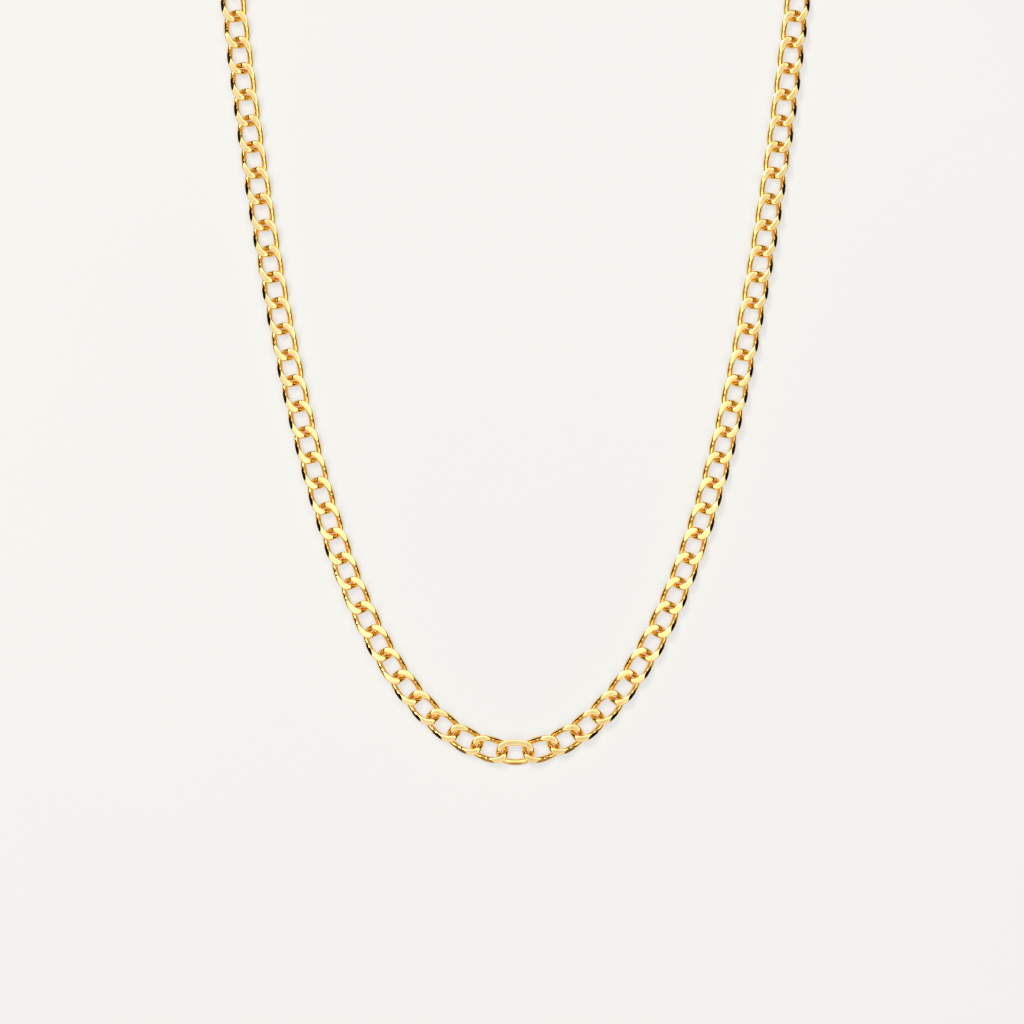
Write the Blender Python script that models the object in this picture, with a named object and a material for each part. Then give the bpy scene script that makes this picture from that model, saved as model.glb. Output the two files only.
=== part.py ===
"""A flat curb chain necklace with a lobster clasp, laid open on a surface in a catenary.

The front of the necklace is at the origin, and both arms run towards +Y. The surface is the plane z = 0.
Every second link of a plain chain would lie edge on. A curb link is twisted instead, so that all of them lie
flat: seen from above, one corner of each end rides over the neighbour and the other corner passes under it.
The two arms are mirror images, and the untwisted front link joins them.
"""

import math

import bmesh
import bpy
from mathutils import Matrix, Vector

MM = 0.001

# Curb links
LINK_LENGTH = 6.45 * MM
LINK_WIDTH = 4.3 * MM
LINK_WIRE = 1.0 * MM
LINK_THICKNESS = 1.7 * MM  # between the two pressed faces
PITCH = 4.35 * MM
SQUARENESS = 2.4  # exponent of the link's superellipse, 2 for a plain oval
TWIST_RISE = 0.65 * MM  # how far a corner of the wire's centre line rises or dips
TWIST_STEEPNESS = 1.2
FRONT_STEEPNESS = 3.0
LINK_STEPS = 12

# The necklace
CATENARY = 16.4 * MM  # radius of the curve at the front
SINGLE_LINKS = 20  # separate links on each arm, counted from the front link
RUN_LINKS = 6
RUNS = 5  # on each arm
ARM_LINKS = SINGLE_LINKS + RUNS * RUN_LINKS
SEAT_RADIUS = 0.3 * MM  # the solder seat that joins two links of a run
SEAT_LENGTH = 0.9 * MM

# Rings, one at the end of each arm
RING_RADIUS = 1.7 * MM
RING_WIRE = 0.7 * MM
RING_TILT = math.radians(20)
RING_REACH = 1.0 * MM  # from the arm's last pivot to the ring's centre
RING_HEIGHT = 1.0 * MM

# Lobster clasp. Its own frame has the eye's centre at the origin, +X away from the chain and the lever on -Y.
# Each route gives x, y and the radius along a tapered bar.
EYE_REACH = 2.95 * MM  # from the arm's last pivot to the eye's centre
EYE_RADIUS = 1.0 * MM
EYE_WIRE = 0.5 * MM
CLASP_HEIGHT = 1.27 * MM  # of the clasp's middle plane
CLAW_ROUTE = (
    (0.7, -0.1, 0.75),
    (1.4, -0.2, 1.12),
    (2.3, -0.2, 1.25),
    (3.6, 0.25, 1.15),
    (5.3, 1.0, 1.0),
    (7.3, 1.1, 0.85),
    (8.9, 0.3, 0.72),
    (9.35, -1.0, 0.6),
    (8.7, -2.05, 0.45),
    (7.9, -2.35, 0.28),
)
SLOT_FROM = 1.15 * MM
SLOT_TO = 3.3 * MM
NOTCH_TO = 4.5 * MM  # the slot runs on below the claw, for the lever to swing in
NOTCH_TOP = -0.35 * MM
SLOT_WIDTH = 1.0 * MM
PIVOT = Vector((2.25, -0.25, 0)) * MM
PIN_RADIUS = 0.3 * MM
PIN_LENGTH = 2.4 * MM
PIN_HOLE = 0.34 * MM
LEVER_HOLE = 0.36 * MM
LEVER_ROOT = 0.8 * MM
LEVER_THICKNESS = 0.84 * MM
LEVER_ROUTE = (
    (2.25, -0.25, 0.3),
    (3.2, -1.3, 0.4),
    (4.6, -2.0, 0.4),
    (6.0, -2.15, 0.38),
    (7.65, -2.08, 0.33),
)
THUMB_ROUTE = ((2.25, -0.25, 0.3), (1.95, 0.8, 0.3), (1.6, 1.8, 0.36))
SPRING_ROUTE = ((3.15, 0.85, 0.08), (3.03, 0.35, 0.08), (3.17, -0.08, 0.08))

BEND_STEPS = 3  # between two points of a bar's route

GOLD = (0.94, 0.66, 0.24)
STEEL = (0.62, 0.62, 0.60)


def clear_scene():
    for obj in list(bpy.data.objects):
        bpy.data.objects.remove(obj, do_unlink=True)


def make_collection(name):
    collection = bpy.data.collections.new(name)
    bpy.context.scene.collection.children.link(collection)
    return collection


def make_material(name, colour, roughness):
    material = bpy.data.materials.new(name)
    material.use_nodes = True
    shader = material.node_tree.nodes["Principled BSDF"]
    shader.inputs["Base Color"].default_value = (*colour, 1)
    shader.inputs["Metallic"].default_value = 1.0
    shader.inputs["Roughness"].default_value = roughness
    return material


def add_object(name, mesh, place, material, collection=None):
    obj = bpy.data.objects.new(name, mesh)
    obj.matrix_world = place
    (collection or parts).objects.link(obj)
    if not mesh.materials:
        mesh.materials.append(material)
    return obj


def add_cutter(name, mesh, place):
    obj = add_object(name, mesh, place, gold, cutters)
    obj.hide_render = True
    obj.display_type = "WIRE"
    return obj


def add_boolean(obj, other, operation):
    modifier = obj.modifiers.new(f"{operation} {other.name}".lower(), "BOOLEAN")
    modifier.operation = operation
    modifier.object = other


def hang_on(child, parent):
    """Parents the child, which keeps its place."""
    place = child.matrix_world.copy()
    child.parent = parent
    child.matrix_parent_inverse = parent.matrix_world.inverted()
    child.matrix_world = place


def wire_mesh(name, points, radius, resolution, closed=False, radii=None):
    """The mesh of a round wire through these points. With radii it tapers, and bends smoothly."""
    curve = bpy.data.curves.new(name, "CURVE")
    curve.dimensions = "3D"
    curve.twist_mode = "Z_UP"
    curve.bevel_depth = radius
    curve.bevel_resolution = resolution
    curve.use_fill_caps = not closed
    spline = curve.splines.new("BEZIER" if radii else "POLY")
    if radii:
        spline.bezier_points.add(len(points) - 1)
        curve.resolution_u = BEND_STEPS
        for spot, point, size in zip(spline.bezier_points, points, radii, strict=True):
            spot.co = point
            spot.radius = size / radius
            spot.handle_left_type = spot.handle_right_type = "AUTO"
    else:
        spline.points.add(len(points) - 1)
        for spot, point in zip(spline.points, points, strict=True):
            spot.co = (*point, 1)
    spline.use_cyclic_u = closed
    holder = bpy.data.objects.new(name, curve)
    bpy.context.scene.collection.objects.link(holder)
    graph = bpy.context.evaluated_depsgraph_get()
    mesh = bpy.data.meshes.new_from_object(holder.evaluated_get(graph))
    bpy.data.objects.remove(holder)
    bpy.data.curves.remove(curve)
    mesh.name = name
    solid = bmesh.new()
    solid.from_mesh(mesh)
    bmesh.ops.remove_doubles(solid, verts=solid.verts, dist=1e-7)
    bmesh.ops.recalc_face_normals(solid, faces=solid.faces)
    solid.to_mesh(mesh)
    solid.free()
    return mesh


def joined_mesh(name, meshes_and_places):
    """One mesh that holds each of these meshes at its place."""
    solid = bmesh.new()
    for mesh, place in meshes_and_places:
        first = len(solid.verts)
        solid.from_mesh(mesh)
        solid.verts.ensure_lookup_table()
        bmesh.ops.transform(solid, matrix=place, verts=solid.verts[first:])
    mesh = bpy.data.meshes.new(name)
    solid.to_mesh(mesh)
    solid.free()
    return mesh


def cylinder_mesh(name, radius, length, sides, turn=Matrix.Identity(4)):
    solid = bmesh.new()
    bmesh.ops.create_cone(
        solid, cap_ends=True, segments=sides, radius1=radius, radius2=radius, depth=length, matrix=turn
    )
    mesh = bpy.data.meshes.new(name)
    solid.to_mesh(mesh)
    solid.free()
    return mesh


def block_mesh(name, low, high):
    """A box between two corners."""
    low, high = Vector(low), Vector(high)
    size = Matrix.Diagonal((*(high - low), 1))
    solid = bmesh.new()
    bmesh.ops.create_cube(solid, size=1, matrix=Matrix.Translation((low + high) / 2) @ size)
    mesh = bpy.data.meshes.new(name)
    solid.to_mesh(mesh)
    solid.free()
    return mesh


def shade_round(mesh):
    mesh.shade_smooth()
    mesh.set_sharp_from_angle(angle=math.radians(50))


# ---- Chain ----


def signed_power(value, power):
    return math.copysign(abs(value) ** power, value)


def link_point(angle, hand):
    """A point of a link's centre line. The hand is 1 on the right arm, -1 on the left, 0 in the middle."""
    x = (LINK_LENGTH - LINK_WIRE) / 2 * signed_power(math.cos(angle), 2 / SQUARENESS)
    y = (LINK_WIDTH - LINK_WIRE) / 2 * signed_power(math.sin(angle), 2 / SQUARENESS)
    if hand:
        lift = hand * math.tanh(TWIST_STEEPNESS * math.sin(2 * angle)) / math.tanh(TWIST_STEEPNESS)
    else:
        lift = math.tanh(FRONT_STEEPNESS * math.sin(angle)) / math.tanh(FRONT_STEEPNESS)
    return Vector((x, y, TWIST_RISE * lift))


def link_mesh(name, hand):
    """A curb link, pressed flat above and below. Its origin is the pivot on the side of the front link."""
    points = [link_point(2 * math.pi * n / LINK_STEPS, hand) for n in range(LINK_STEPS)]
    mesh = wire_mesh(name, points, LINK_WIRE / 2, 1, closed=True)
    for vertex in mesh.vertices:
        vertex.co.z = max(-LINK_THICKNESS / 2, min(LINK_THICKNESS / 2, vertex.co.z))
        vertex.co.x += hand * PITCH / 2
    shade_round(mesh)
    return mesh


def catenary_height(arc):
    return CATENARY * (math.sqrt(1 + (arc / CATENARY) ** 2) - 1)


def pivot_point(number):
    """Where link number meets the next one outwards. Links are numbered outwards from the front link, 0."""
    arc = (number + 0.5) * PITCH
    front_bar = (LINK_WIDTH - LINK_WIRE) / 2 - catenary_height(PITCH / 2)
    return Vector((CATENARY * math.asinh(arc / CATENARY), catenary_height(arc) + front_bar, 0))


def pivot_place(number, hand):
    """The frame of a link or run of the arm: its inner pivot, with +X along the link from left to right."""
    inner, outer = pivot_point(number - 1), pivot_point(number)
    angle = math.atan2(outer.y - inner.y, outer.x - inner.x)
    height = Vector((0, 0, LINK_THICKNESS / 2))
    if hand == 0:
        return Matrix.Translation((inner + outer) / 2 + height)
    spot = Vector((hand * inner.x, inner.y, 0)) + height
    return Matrix.Translation(spot) @ Matrix.Rotation(hand * angle, 4, "Z")


def arm_end(hand):
    """The frame of the arm's last pivot on the surface, with +X onwards along the arm."""
    inner, last = pivot_point(ARM_LINKS - 1), pivot_point(ARM_LINKS)
    angle = math.atan2(last.y - inner.y, hand * (last.x - inner.x))
    return Matrix.Translation((hand * last.x, last.y, 0)) @ Matrix.Rotation(angle, 4, "Z")


def add_single_links(hand, side, mesh, parent):
    for number in range(1, SINGLE_LINKS + 1):
        link = add_object(f"link_{side}{number:02d}", mesh, pivot_place(number, hand), gold)
        hang_on(link, parent)
        parent = link
    return parent


def add_run(hand, side, index, link, parent):
    """Links joined in one piece, each pair by a solder seat between the bars that touch."""
    first = SINGLE_LINKS + 1 + index * RUN_LINKS
    numbers = range(first, first + RUN_LINKS)
    frame = pivot_place(first, hand)
    to_run = frame.inverted()
    links = joined_mesh(f"run_{side}{index + 1}", [(link, to_run @ pivot_place(n, hand)) for n in numbers])
    seat = cylinder_mesh("seat", SEAT_RADIUS, SEAT_LENGTH, 6, Matrix.Rotation(math.pi / 2, 4, "Y"))
    seats = [(seat, to_run @ pivot_place(n, hand)) for n in numbers[1:]]
    run = add_object(f"run_{side}{index + 1}", links, frame, gold)
    add_boolean(run, add_cutter(f"seats_{side}{index + 1}", joined_mesh("seats", seats), frame), "UNION")
    shade_round(links)
    hang_on(run, parent)
    return run


def add_ring(name, hand, parent):
    """A round ring through the last link, tipped across the link's own twist."""
    points = [
        RING_RADIUS * Vector((math.cos(turn), math.sin(turn), 0))
        for turn in (2 * math.pi * n / 20 for n in range(20))
    ]
    mesh = wire_mesh(name, points, RING_WIRE / 2, 2, closed=True)
    shade_round(mesh)
    place = (
        arm_end(hand)
        @ Matrix.Translation((RING_REACH, 0, RING_HEIGHT))
        @ Matrix.Rotation(-hand * RING_TILT, 4, "X")
    )
    ring = add_object(name, mesh, place, gold)
    hang_on(ring, parent)
    return ring


# ---- Lobster clasp ----


def bar_mesh(name, route, resolution):
    """A round bar that bends smoothly and tapers along a route of (x, y, radius) in millimetres."""
    points = [Vector((x, y, 0)) * MM for x, y, _ in route]
    mesh = wire_mesh(name, points, MM, resolution, radii=[radius * MM for *_, radius in route])
    shade_round(mesh)
    return mesh


def eye_mesh():
    """The ring that the jump ring passes through, upright and along the clasp."""
    points = [
        EYE_RADIUS * Vector((math.cos(turn), 0, math.sin(turn)))
        for turn in (2 * math.pi * n / 16 for n in range(16))
    ]
    mesh = wire_mesh("eye", points, EYE_WIRE / 2, 2, closed=True)
    shade_round(mesh)
    return mesh


def add_clasp(place, parent):
    to_pivot = place @ Matrix.Translation(PIVOT)
    body = add_object("clasp_body", bar_mesh("clasp_body", CLAW_ROUTE, 3), place, gold)
    add_boolean(body, add_cutter("clasp_eye", eye_mesh(), place), "UNION")
    side = 3 * MM
    slot = block_mesh("slot", (SLOT_FROM, -side, -SLOT_WIDTH / 2), (SLOT_TO, side, SLOT_WIDTH / 2))
    add_boolean(body, add_cutter("clasp_slot", slot, place), "DIFFERENCE")
    notch = block_mesh("notch", (PIVOT.x, -side, -SLOT_WIDTH / 2), (NOTCH_TO, NOTCH_TOP, SLOT_WIDTH / 2))
    add_boolean(body, add_cutter("clasp_notch", notch, place), "DIFFERENCE")
    hole = cylinder_mesh("pin_hole", PIN_HOLE, 2 * PIN_LENGTH, 16)
    add_boolean(body, add_cutter("clasp_pin_hole", hole, to_pivot), "DIFFERENCE")
    hang_on(body, parent)

    pin = add_object("clasp_pivot_pin", cylinder_mesh("pin", PIN_RADIUS, PIN_LENGTH, 16), to_pivot, steel)
    shade_round(pin.data)
    hang_on(pin, body)
    hang_on(add_object("clasp_spring", bar_mesh("spring", SPRING_ROUTE, 1), place, steel), body)
    hang_on(add_lever(place, to_pivot), body)


def add_lever(place, to_pivot):
    """The sprung gate of the clasp: a flat root on the pin, an arm to the claw's tip and a thumb piece."""
    root = cylinder_mesh("clasp_lever", LEVER_ROOT, LEVER_THICKNESS, 20)
    shade_round(root)
    lever = add_object("clasp_lever", root, to_pivot, gold)
    for name, route in (("lever_arm", LEVER_ROUTE), ("lever_thumb", THUMB_ROUTE)):
        add_boolean(lever, add_cutter(name, bar_mesh(name, route, 2), place), "UNION")
    hole = cylinder_mesh("lever_hole", LEVER_HOLE, 2 * LEVER_THICKNESS, 16)
    add_boolean(lever, add_cutter("lever_hole", hole, to_pivot), "DIFFERENCE")
    return lever


clear_scene()
parts = make_collection("chain_necklace")
cutters = make_collection("cutters")
gold = make_material("gold", GOLD, 0.18)
steel = make_material("steel", STEEL, 0.3)

front = add_object("link_front", link_mesh("link_front", 0), pivot_place(0, 0), gold)
for arm_hand, arm_side in ((1, "R"), (-1, "L")):
    arm_mesh = link_mesh(f"link_{arm_side}", arm_hand)
    outermost = add_single_links(arm_hand, arm_side, arm_mesh, front)
    for run_index in range(RUNS):
        outermost = add_run(arm_hand, arm_side, run_index, arm_mesh, outermost)
    if arm_hand > 0:
        jump_ring = add_ring("clasp_jump_ring", arm_hand, outermost)
        eye_place = arm_end(arm_hand) @ Matrix.Translation((EYE_REACH, 0, CLASP_HEIGHT))
        add_clasp(eye_place, jump_ring)
    else:
        add_ring("end_ring", arm_hand, outermost)
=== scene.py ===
"""The visual model of the curb chain necklace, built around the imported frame."""

import math
import random

import bmesh
import bpy
from mathutils import Matrix, Vector


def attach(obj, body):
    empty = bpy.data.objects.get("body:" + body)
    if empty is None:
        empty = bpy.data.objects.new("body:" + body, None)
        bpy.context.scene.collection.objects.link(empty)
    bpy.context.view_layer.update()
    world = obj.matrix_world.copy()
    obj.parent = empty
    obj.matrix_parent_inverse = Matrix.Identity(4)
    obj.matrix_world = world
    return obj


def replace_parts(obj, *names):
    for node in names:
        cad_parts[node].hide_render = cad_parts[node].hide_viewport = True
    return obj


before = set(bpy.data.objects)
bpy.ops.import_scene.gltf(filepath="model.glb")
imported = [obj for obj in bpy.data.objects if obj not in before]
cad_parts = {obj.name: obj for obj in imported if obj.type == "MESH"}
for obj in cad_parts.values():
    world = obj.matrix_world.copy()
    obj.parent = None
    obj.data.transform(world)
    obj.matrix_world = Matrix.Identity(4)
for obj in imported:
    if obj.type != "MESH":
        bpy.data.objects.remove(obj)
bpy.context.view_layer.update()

MM = 0.001
UP = Vector((0, 0, 1))

# The chain, as in the CAD
LINK_LENGTH = 6.45 * MM
LINK_WIDTH = 4.3 * MM
WIRE = 1.0 * MM
THICKNESS = 1.7 * MM
PITCH = 4.35 * MM
SQUARENESS = 2.4
TWIST_RISE = 0.65 * MM
TWIST_STEEPNESS = 1.2
FRONT_STEEPNESS = 3.0
CATENARY = 16.4 * MM
SINGLE_LINKS = 20
RUN_LINKS = 6
RUNS = 5
ARM_LINKS = SINGLE_LINKS + RUNS * RUN_LINKS

# The rings at the ends of the arms
RING_RADIUS = 1.7 * MM
RING_WIRE = 0.62 * MM
RING_TILT = math.radians(20)
RING_REACH = 1.0 * MM
RING_HEIGHT = 1.0 * MM
RING_SEAM = math.radians(100)
RING_HALF_GAP = 0.6  # degrees from the seam to the wire's end
RING_SWEEP = 358.8  # degrees from one end of the wire to the other
RING_EASE = 0.03 * MM

# The lobster clasp, in its own frame: +X away from the chain, from the middle of its eye
EYE_REACH = 2.95 * MM
EYE_RADIUS = 1.0 * MM
EYE_WIRE = 0.46 * MM
CLASP_HEIGHT = 1.27 * MM
SLOT_FROM = 1.15 * MM
SLOT_TO = 3.3 * MM
NOTCH_TO = 4.5 * MM
NOTCH_TOP = -0.35 * MM
SLOT_WIDTH = 1.0 * MM
PIVOT = Vector((2.25, -0.25, 0)) * MM
PIN_RADIUS = 0.3 * MM
PIN_LENGTH = 2.4 * MM
PIN_HOLE = 0.34 * MM
LEVER_HOLE = 0.36 * MM
LEVER_ROOT = 0.8 * MM
LEVER_THICKNESS = 0.84 * MM

# Bars of the clasp: x, y and radius in millimetres
CLAW_ROUTE = (
    (0.7, -0.1, 0.75), (1.4, -0.2, 1.12), (2.3, -0.2, 1.25), (3.6, 0.25, 1.15), (5.3, 1.0, 1.0),
    (7.3, 1.1, 0.85), (8.9, 0.3, 0.72), (9.35, -1.0, 0.6), (8.7, -2.05, 0.45), (7.9, -2.35, 0.28),
)
LEVER_ROUTE = (
    (2.25, -0.25, 0.3), (3.2, -1.3, 0.4), (4.6, -2.0, 0.4), (6.0, -2.15, 0.38), (7.65, -2.08, 0.33),
)
THUMB_ROUTE = ((2.25, -0.25, 0.3), (1.95, 0.8, 0.3), (1.6, 1.8, 0.36))
SPRING_ROUTE = ((3.15, 0.85, 0.08), (3.03, 0.35, 0.08), (3.17, -0.08, 0.08))

BLUNTNESS = 0.55  # how far the bars' rounded tips reach, in radii
EDGE_EASE = 0.05 * MM

# How finely the wire is modelled
LINK_LINE_STEPS = 1440
LINK_RINGS = 120
WIRE_SIDES = 32
RING_STEPS = 120
RING_SIDES = 24
EYE_STEPS = 96
EYE_SIDES = 20

# The bright-cut facet on each link's outer side
CUT_LEAN = math.radians(38)  # of its normal from the vertical
FACETED = {"R": 0.9, "L": 0.6}  # the share of links whose facet hasn't worn away
CUT_DEPTH = 0.075 * MM
CUT_FOLLOWS = 0.75  # how much of the wire's slope the facet follows
SLOPE_SPAN = 0.1  # the angle either side of the bar's middle over which its slope is taken

# How the wire is pressed flat
PRESS_CRISPNESS = 9  # how sharply the round turns into the flat
PRESSED_FROM = 0.79 * MM  # the height from which the wire has the pressed finish
POLISHED, PRESSED = 0, 1  # the places of the two finishes in a link's materials

LIE_SPREAD = math.radians(1.2)  # how unevenly the links lie

# Light: brightness of the ring overhead and of the near card, and what the studio shows by direction
SKY = 1.35
CARD = 0.6
CARD_SIZE = (80 * MM, 190 * MM)
CARD_PLACE = (0, 104 * MM, 45 * MM)
KEY_SIZE = 0.35
KEY_POWER = 4.0
KEY_PLACE = Vector((-0.5, 0.6, 0.9))
KEY_AIM = Vector((0, 0.05, 0))
WALL = (0.905, 0.896, 0.863, 1)
OVERHEAD = (
    (0.0, (0.0, 0.0, 0.0)),
    (0.28, (0.01, 0.003, 0.001)),
    (0.54, (0.1, 0.035, 0.01)),
    (0.64, (0.6, 0.5, 0.36)),
    (0.74, (1.0, 1.0, 1.0)),
    (0.92, (1.0, 1.0, 1.0)),
    (0.975, (0.68, 0.68, 0.68)),
    (1.0, (0.58, 0.58, 0.58)),
)
FRONT_GLOW = ((0.2, (0.4, 0.26, 0.14)), (0.5, (0.0, 0.0, 0.0)))

# The camera: the width it sees at the chain, its lens and its place over the front
LENS = 120
SENSOR = 36
SEEN_WIDTH = 169.0 * MM
CAMERA_X = -0.55 * MM
CAMERA_Y = 41.3 * MM

# The surface that the chain lies on
FLOOR_HALF = 6.0
FLOOR_DROP = 0.02 * MM
FLOOR_GLOW = 0.58

random.seed(7)


def make_camera():
    """Looks straight down on the front of the necklace."""
    data = bpy.data.cameras.new("camera")
    data.lens = LENS
    data.sensor_width = SENSOR
    camera = bpy.data.objects.new("camera", data)
    camera.location = (CAMERA_X, CAMERA_Y, SEEN_WIDTH * LENS / SENSOR + THICKNESS / 2)
    bpy.context.scene.collection.objects.link(camera)
    bpy.context.scene.camera = camera


make_camera()


# ---- Materials ----


def new_material(name):
    material = bpy.data.materials.new(name)
    material.use_nodes = True
    tree = material.node_tree
    return material, tree.nodes, tree.links, tree.nodes["Principled BSDF"]


def noise_of(nodes, links, scale, detail=3.0):
    """A noise in the piece's own coordinates, with this many cells to a millimetre."""
    place = nodes.new("ShaderNodeTexCoord")
    mapping = nodes.new("ShaderNodeMapping")
    mapping.inputs["Scale"].default_value = [1 / MM] * 3
    noise = nodes.new("ShaderNodeTexNoise")
    noise.inputs["Scale"].default_value = scale
    noise.inputs["Detail"].default_value = detail
    links.new(place.outputs["Object"], mapping.inputs["Vector"])
    links.new(mapping.outputs["Vector"], noise.inputs["Vector"])
    return noise.outputs["Fac"]


def ramp_of(nodes, links, value, stops):
    """A colour ramp over this value, through (position, colour) stops."""
    ramp = nodes.new("ShaderNodeValToRGB")
    first, last = ramp.color_ramp.elements
    first.position, first.color = stops[0][0], (*stops[0][1], 1)
    last.position, last.color = stops[-1][0], (*stops[-1][1], 1)
    for position, colour in stops[1:-1]:
        ramp.color_ramp.elements.new(position).color = (*colour, 1)
    links.new(value, ramp.inputs["Fac"])
    return ramp.outputs["Color"]


def metal(name, pale, deep, rough_low, rough_high, grain, bump):
    """A metal whose colour and gloss drift from place to place, with a fine grain."""
    material, nodes, links, shader = new_material(name)
    shader.inputs["Metallic"].default_value = 1.0
    drift = noise_of(nodes, links, 0.35)
    links.new(ramp_of(nodes, links, drift, ((0.35, deep), (0.65, pale))), shader.inputs["Base Color"])
    wear = noise_of(nodes, links, grain, 6.0)
    low, high = (rough_low,) * 3, (rough_high,) * 3
    links.new(ramp_of(nodes, links, wear, ((0.3, low), (0.7, high))), shader.inputs["Roughness"])
    relief = nodes.new("ShaderNodeBump")
    relief.inputs["Strength"].default_value = bump
    relief.inputs["Distance"].default_value = 0.01 * MM
    links.new(wear, relief.inputs["Height"])
    links.new(relief.outputs["Normal"], shader.inputs["Normal"])
    return material


GOLD = metal("gold_polished", (0.97, 0.69, 0.25), (0.92, 0.59, 0.17), 0.08, 0.14, 3.0, 0.08)
GOLD_PRESSED = metal("gold_pressed", (0.96, 0.75, 0.36), (0.91, 0.66, 0.26), 0.1, 0.26, 4.0, 1.2)
STEEL = metal("steel_wire", (0.72, 0.71, 0.69), (0.6, 0.59, 0.57), 0.15, 0.35, 6.0, 0.4)


def paper():
    """The matt floor: the bluish glow keeps the small shadows cool and weak."""
    material, nodes, links, shader = new_material("paper")
    tone = noise_of(nodes, links, 0.01, 2.0)
    stops = ((0.3, (0.385, 0.352, 0.292)), (0.7, (0.395, 0.361, 0.299)))
    links.new(ramp_of(nodes, links, tone, stops), shader.inputs["Base Color"])
    shader.inputs["Roughness"].default_value = 0.9
    shader.inputs["Specular IOR Level"].default_value = 0.0
    shader.inputs["Emission Color"].default_value = (0.86, 0.93, 1.0, 1)
    shader.inputs["Emission Strength"].default_value = FLOOR_GLOW
    grain = noise_of(nodes, links, 0.8, 4.0)
    relief = nodes.new("ShaderNodeBump")
    relief.inputs["Strength"].default_value = 0.05
    relief.inputs["Distance"].default_value = 0.05 * MM
    links.new(grain, relief.inputs["Height"])
    links.new(relief.outputs["Normal"], shader.inputs["Normal"])
    return material


# ---- Mesh tools ----


def tube(points, radii, sides, closed, up=UP):
    """A bmesh wire along these points. The line must never run along up."""
    solid = bmesh.new()
    count = len(points)
    rings = []
    for n, (point, radius) in enumerate(zip(points, radii, strict=True)):
        before = points[(n - 1) % count] if closed or n else point
        after = points[(n + 1) % count] if closed or n < count - 1 else point
        along = (after - before).normalized()
        across = up.cross(along).normalized()
        above = along.cross(across)
        ring = []
        for side in range(sides):
            turn = 2 * math.pi * (side + 0.5) / sides
            spoke = math.cos(turn) * across + math.sin(turn) * above
            ring.append(solid.verts.new(point + radius * spoke))
        rings.append(ring)
    pairs = list(zip(rings, rings[1:] + rings[:1], strict=True))
    for first, second in pairs if closed else pairs[:-1]:
        for side in range(sides):
            after = (side + 1) % sides
            solid.faces.new((first[side], first[after], second[after], second[side]))
    if not closed:
        solid.faces.new(rings[0][::-1])
        solid.faces.new(rings[-1])
    bmesh.ops.recalc_face_normals(solid, faces=solid.faces)
    for face in solid.faces:
        face.smooth = len(face.verts) < 5
    return solid


def cut_flat(solid, spot, normal):
    """Cuts off what lies beyond a plane, and closes the cut with flat polished faces."""
    everything = solid.verts[:] + solid.edges[:] + solid.faces[:]
    cut = bmesh.ops.bisect_plane(
        solid, geom=everything, plane_co=spot, plane_no=normal, clear_outer=True, dist=1e-8
    )
    rim = [part for part in cut["geom_cut"] if isinstance(part, bmesh.types.BMEdge)]
    if not rim:
        return
    for face in bmesh.ops.holes_fill(solid, edges=rim)["faces"]:
        face.material_index = POLISHED
        face.smooth = False
    for edge in rim:
        if edge.is_valid:
            edge.smooth = False


def mesh_of(solid, name, materials):
    """The finished mesh of a bmesh, which is freed."""
    mesh = bpy.data.meshes.new(name)
    solid.to_mesh(mesh)
    solid.free()
    for material in materials:
        mesh.materials.append(material)
    return mesh


def add_piece(name, mesh, place, body):
    """A piece of the necklace that rides on this body."""
    piece = bpy.data.objects.new(name, mesh)
    piece.matrix_world = place
    bpy.context.scene.collection.objects.link(piece)
    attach(piece, body)
    return piece


# ---- Links ----


def signed_power(value, power):
    return math.copysign(abs(value) ** power, value)


def link_point(angle, hand):
    """A point of a link's centre line. Hand is 1 or -1 for a twisted link, 0 for the front link."""
    x = (LINK_LENGTH - WIRE) / 2 * signed_power(math.cos(angle), 2 / SQUARENESS)
    y = (LINK_WIDTH - WIRE) / 2 * signed_power(math.sin(angle), 2 / SQUARENESS)
    if hand:
        lift = hand * math.tanh(TWIST_STEEPNESS * math.sin(2 * angle)) / math.tanh(TWIST_STEEPNESS)
    else:
        lift = math.tanh(FRONT_STEEPNESS * math.sin(angle)) / math.tanh(FRONT_STEEPNESS)
    return Vector((x, y, TWIST_RISE * lift))


def evenly(points, count):
    """Points at equal steps along a closed line."""
    lengths = [0.0]
    for first, second in zip(points, points[1:] + points[:1], strict=True):
        lengths.append(lengths[-1] + (second - first).length)
    spots = []
    n = 0
    for step in range(count):
        target = lengths[-1] * step / count
        while lengths[n + 1] < target:
            n += 1
        share = (target - lengths[n]) / (lengths[n + 1] - lengths[n])
        spots.append(points[n].lerp(points[(n + 1) % len(points)], share))
    return spots


def pressed(height):
    """Where a point of the round wire ends up when the chain is pressed flat."""
    over = abs(height) / (THICKNESS / 2)
    return height / (1 + over**PRESS_CRISPNESS) ** (1 / PRESS_CRISPNESS)


def cut_facet(solid, hand):
    """Cuts the bright flat facet along the outside of a link's outer bar."""
    middle = -math.pi / 2
    slope = link_point(middle + SLOPE_SPAN, hand) - link_point(middle - SLOPE_SPAN, hand)
    slope.z *= CUT_FOLLOWS
    slope.normalize()
    outwards = slope.cross(UP).normalized()
    upwards = outwards.cross(slope)
    turn = math.acos(math.cos(CUT_LEAN) / upwards.z)
    lean = math.sin(turn) * outwards + math.cos(turn) * upwards
    cut_flat(solid, link_point(middle, hand) + lean * (WIRE / 2 - CUT_DEPTH), lean)


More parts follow.
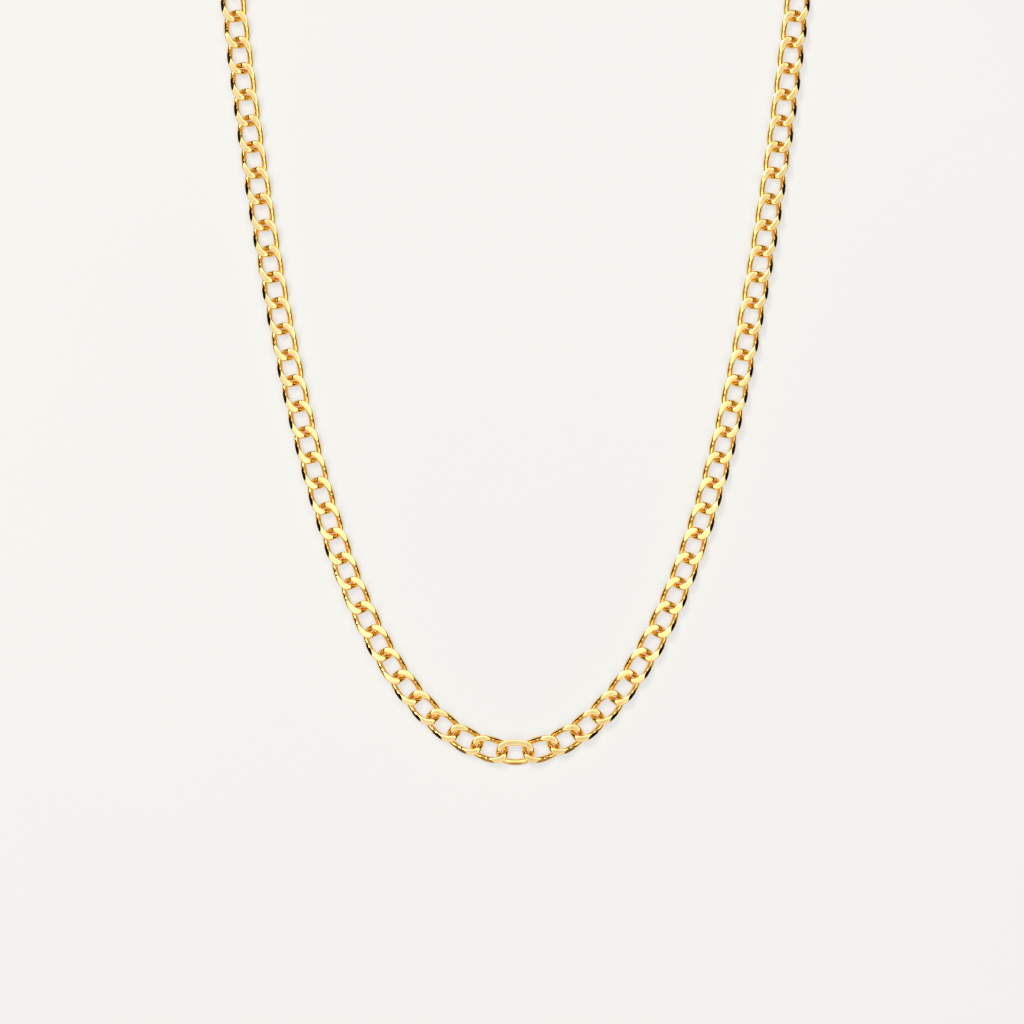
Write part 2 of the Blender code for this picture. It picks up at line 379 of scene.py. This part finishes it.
def link_mesh(name, hand, faceted=True):
    """A curb link centred on its origin: round wire pressed flat above and below, with a cut facet."""
    line = [link_point(2 * math.pi * n / LINK_LINE_STEPS, hand) for n in range(LINK_LINE_STEPS)]
    points = evenly(line, LINK_RINGS)
    solid = tube(points, [WIRE / 2] * LINK_RINGS, WIRE_SIDES, closed=True)
    for vert in solid.verts:
        vert.co.z = pressed(vert.co.z)
    for face in solid.faces:
        if all(abs(vert.co.z) > PRESSED_FROM for vert in face.verts):
            face.material_index = PRESSED
    if faceted:
        cut_facet(solid, hand)
    return mesh_of(solid, name, (GOLD, GOLD_PRESSED))


def catenary_height(arc):
    """How high the chain's curve has risen at this length from its lowest point."""
    return CATENARY * (math.sqrt(1 + (arc / CATENARY) ** 2) - 1)


def pivot_point(number):
    """Where link number and the next one hook together on the right arm."""
    arc = (number + 0.5) * PITCH
    front_bar = (LINK_WIDTH - WIRE) / 2 - catenary_height(PITCH / 2)
    x = CATENARY * math.asinh(arc / CATENARY)
    return Vector((x, catenary_height(arc) + front_bar, THICKNESS / 2))


def link_place(number, hand):
    """The frame of a link: its centre, with +X along the link from left to right."""
    inner, outer = pivot_point(number - 1), pivot_point(number)
    angle = math.atan2(outer.y - inner.y, outer.x - inner.x)
    centre = (inner + outer) / 2
    if hand == 0:
        return Matrix.Translation(centre)
    centre.x *= hand
    return Matrix.Translation(centre) @ Matrix.Rotation(hand * angle, 4, "Z")


def uneven():
    """Links of a real chain don't lie quite alike: a small roll about the link's length."""
    return Matrix.Rotation(random.uniform(-LIE_SPREAD, LIE_SPREAD), 4, "X")


def add_arm(hand, side):
    """The links of one arm: single ones on their own bodies, then runs that share one."""
    faceted = link_mesh(f"link_{side}_faceted", hand)
    worn = link_mesh(f"link_{side}_worn", hand, faceted=False)
    for number in range(1, ARM_LINKS + 1):
        mesh = faceted if random.random() < FACETED[side] else worn
        place = link_place(number, hand) @ uneven()
        if number <= SINGLE_LINKS:
            body = f"link_{side}{number:02d}"
        else:
            body = f"run_{side}{(number - SINGLE_LINKS - 1) // RUN_LINKS + 1}"
        piece = add_piece(f"curb_{side}{number:02d}", mesh, place, body)
        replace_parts(piece, body)


def arm_end(hand):
    """The frame of the arm's last pivot on the surface, with +X onwards along the arm."""
    inner, last = pivot_point(ARM_LINKS - 1), pivot_point(ARM_LINKS)
    angle = math.atan2(last.y - inner.y, hand * (last.x - inner.x))
    return Matrix.Translation((hand * last.x, last.y, 0)) @ Matrix.Rotation(angle, 4, "Z")


def add_ring(name, body, node, hand):
    """A jump ring bent from round wire, with the fine gap where its ends meet."""
    shares = [n / RING_STEPS for n in range(RING_STEPS + 1)]
    turns = [RING_SEAM + math.radians(RING_HALF_GAP + RING_SWEEP * share) for share in shares]
    points = [RING_RADIUS * Vector((math.cos(turn), math.sin(turn), 0)) for turn in turns]
    radii = [RING_WIRE / 2] * len(points)
    radii[0] = radii[-1] = RING_WIRE / 2 - RING_EASE
    ring = mesh_of(tube(points, radii, RING_SIDES, closed=False), name, (GOLD,))
    place = (
        arm_end(hand)
        @ Matrix.Translation((RING_REACH, 0, RING_HEIGHT))
        @ Matrix.Rotation(-hand * RING_TILT, 4, "X")
    )
    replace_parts(add_piece(name, ring, place, body), node)


front_link = add_piece("curb_front", link_mesh("link_front", 0), link_place(0, 0), "link_front")
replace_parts(front_link, "link_front")
add_arm(1, "R")
add_arm(-1, "L")
add_ring("jump_ring", "clasp_ring", "clasp_jump_ring", 1)
add_ring("loop_ring", "end_ring", "end_ring", -1)


# ---- Lobster clasp ----


def smooth_route(route, steps):
    """A smooth bar through (x, y, radius) in millimetres, rounded off at both ends."""
    spots = [Vector(spot) * MM for spot in route]
    spots = [2 * spots[0] - spots[1], *spots, 2 * spots[-1] - spots[-2]]
    line = []
    for before, first, last, after in zip(spots, spots[1:], spots[2:], spots[3:]):
        for step in range(steps):
            t = step / steps
            line.append(
                0.5 * (
                    2 * first
                    + (last - before) * t
                    + (2 * before - 5 * first + 4 * last - after) * t**2
                    + (3 * first - before - 3 * last + after) * t**3
                )
            )
    line.append(spots[-2])
    points = [Vector((spot.x, spot.y, 0)) for spot in line]
    radii = [spot.z for spot in line]
    for order in (1, -1):
        travelled, full = 0.0, BLUNTNESS * radii[::order][0]
        for n in range(len(points))[::order]:
            if travelled >= full:
                break
            radii[n] *= max(0.12, math.sqrt(1 - (1 - travelled / full) ** 2))
            if 0 <= n + order < len(points):
                travelled += (points[n + order] - points[n]).length
    return points, radii


def bar_mesh(route, sides=32, steps=14):
    points, radii = smooth_route(route, steps)
    return mesh_of(tube(points, radii, sides, closed=False), "bar", (GOLD,))


def cylinder_mesh(radius, length, place=Matrix()):
    solid = bmesh.new()
    bmesh.ops.create_cone(
        solid, cap_ends=True, segments=48, radius1=radius, radius2=radius, depth=length, matrix=place
    )
    for face in solid.faces:
        face.smooth = len(face.verts) == 4
    return mesh_of(solid, "cylinder", (GOLD,))


def block_mesh(low, high):
    low, high = Vector(low), Vector(high)
    solid = bmesh.new()
    place = Matrix.Translation((low + high) / 2) @ Matrix.Diagonal((*(high - low), 1))
    bmesh.ops.create_cube(solid, size=1, matrix=place)
    return mesh_of(solid, "block", (GOLD,))


def shaped(mesh, steps, name):
    """The mesh after these unions and differences, with its sharp edges eased."""
    scene = bpy.context.scene
    base = bpy.data.objects.new(name, mesh)
    scene.collection.objects.link(base)
    tools = []
    for operation, other in steps:
        tool = bpy.data.objects.new("tool", other)
        scene.collection.objects.link(tool)
        tools.append(tool)
        boolean = base.modifiers.new(operation, "BOOLEAN")
        boolean.operation = operation
        boolean.object = tool
    bevel = base.modifiers.new("ease", "BEVEL")
    bevel.width = EDGE_EASE
    bevel.segments = 2
    bevel.angle_limit = math.radians(50)
    graph = bpy.context.evaluated_depsgraph_get()
    result = bpy.data.meshes.new_from_object(base.evaluated_get(graph))
    for made in (base, *tools):
        bpy.data.objects.remove(made)
    result.name = name
    result.set_sharp_from_angle(angle=math.radians(40))
    return result


def add_clasp():
    """The claw with its eye, the lever that closes it, and the lever's pin and spring."""
    place = arm_end(1) @ Matrix.Translation((EYE_REACH, 0, CLASP_HEIGHT))
    pivot = Matrix.Translation(PIVOT)
    turns = [2 * math.pi * n / EYE_STEPS for n in range(EYE_STEPS)]
    eye_line = [EYE_RADIUS * Vector((math.cos(turn), 0, math.sin(turn))) for turn in turns]
    eye = tube(eye_line, [EYE_WIRE / 2] * EYE_STEPS, EYE_SIDES, closed=True, up=Vector((0, 1, 0)))
    side = 3 * MM  # beyond the claw on either side
    half = SLOT_WIDTH / 2
    claw = shaped(
        bar_mesh(CLAW_ROUTE, 48, 20),
        (
            ("UNION", mesh_of(eye, "eye", (GOLD,))),
            ("DIFFERENCE", block_mesh((SLOT_FROM, -side, -half), (SLOT_TO, side, half))),
            ("DIFFERENCE", block_mesh((PIVOT.x, -side, -half), (NOTCH_TO, NOTCH_TOP, half))),
            ("DIFFERENCE", cylinder_mesh(PIN_HOLE, 2 * PIN_LENGTH, pivot)),
        ),
        "claw",
    )
    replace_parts(add_piece("claw", claw, place, "clasp"), "clasp_body")

    pin = cylinder_mesh(PIN_RADIUS, PIN_LENGTH)
    pin.materials[0] = STEEL
    pin = add_piece("pivot_pin", shaped(pin, (), "pivot_pin"), place @ pivot, "clasp")
    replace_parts(pin, "clasp_pivot_pin")

    spring = bar_mesh(SPRING_ROUTE, 16, 8)
    spring.materials[0] = STEEL
    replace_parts(add_piece("spring", spring, place, "clasp"), "clasp_spring")

    gate = shaped(
        cylinder_mesh(LEVER_ROOT, LEVER_THICKNESS, pivot),
        (
            ("UNION", bar_mesh(LEVER_ROUTE)),
            ("UNION", bar_mesh(THUMB_ROUTE)),
            ("DIFFERENCE", cylinder_mesh(LEVER_HOLE, 2 * LEVER_THICKNESS, pivot)),
        ),
        "gate",
    )
    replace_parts(add_piece("gate", gate, place, "clasp_lever"), "clasp_lever")


add_clasp()


# ---- Stage and light ----


def add_floor():
    half = FLOOR_HALF
    corners = [(-half, -half, 0), (half, -half, 0), (half, half, 0), (-half, half, 0)]
    mesh = bpy.data.meshes.new("floor")
    mesh.from_pydata(corners, [], [(0, 1, 2, 3)])
    mesh.materials.append(paper())
    floor = bpy.data.objects.new("floor", mesh)
    floor.location.z = -FLOOR_DROP
    bpy.context.scene.collection.objects.link(floor)


def add_surroundings():
    """A soft studio: a bright ring of light overhead, dark towards the horizon, with a warm
    glow in front. The camera itself sees a pale wall behind the floor."""
    world = bpy.data.worlds.new("studio")
    bpy.context.scene.world = world
    world.use_nodes = True
    nodes, links = world.node_tree.nodes, world.node_tree.links
    background = nodes["Background"]
    place = nodes.new("ShaderNodeTexCoord")
    parts = nodes.new("ShaderNodeSeparateXYZ")
    links.new(place.outputs["Generated"], parts.inputs["Vector"])
    sky = ramp_of(nodes, links, parts.outputs["Z"], OVERHEAD)
    shift = nodes.new("ShaderNodeMath")
    shift.inputs[1].default_value = 1.0
    links.new(parts.outputs["Y"], shift.inputs[0])
    front = ramp_of(nodes, links, shift.outputs["Value"], FRONT_GLOW)
    both = nodes.new("ShaderNodeMix")
    both.data_type = "RGBA"
    both.blend_type = "LIGHTEN"
    both.inputs["Factor"].default_value = 1.0
    links.new(sky, both.inputs["A"])
    links.new(front, both.inputs["B"])
    links.new(both.outputs["Result"], background.inputs["Color"])
    background.inputs["Strength"].default_value = SKY
    wall = nodes.new("ShaderNodeBackground")
    wall.inputs["Color"].default_value = WALL
    path = nodes.new("ShaderNodeLightPath")
    seen = nodes.new("ShaderNodeMixShader")
    links.new(path.outputs["Is Camera Ray"], seen.inputs["Fac"])
    links.new(background.outputs["Background"], seen.inputs[1])
    links.new(wall.outputs["Background"], seen.inputs[2])
    links.new(seen.outputs["Shader"], nodes["World Output"].inputs["Surface"])


def add_near_light():
    """A card of light low over the space between the arms. Only the metal reflects it."""
    data = bpy.data.lights.new("card", "AREA")
    data.shape = "RECTANGLE"
    data.size, data.size_y = CARD_SIZE
    data.energy = CARD * math.pi * data.size * data.size_y
    card = bpy.data.objects.new("card", data)
    card.location = CARD_PLACE
    card.visible_camera = False
    card.visible_diffuse = False
    bpy.context.scene.collection.objects.link(card)


def add_key_light():
    """The lamp that casts the soft shadow, from the upper left."""
    data = bpy.data.lights.new("key", "AREA")
    data.shape = "DISK"
    data.size = KEY_SIZE
    data.energy = KEY_POWER
    key = bpy.data.objects.new("key", data)
    key.location = KEY_PLACE
    key.rotation_euler = (KEY_AIM - key.location).to_track_quat("-Z", "Y").to_euler()
    key.visible_camera = False
    bpy.context.scene.collection.objects.link(key)


add_floor()
add_surroundings()
add_near_light()
add_key_light()
bpy.context.scene.view_settings.view_transform = "Standard"
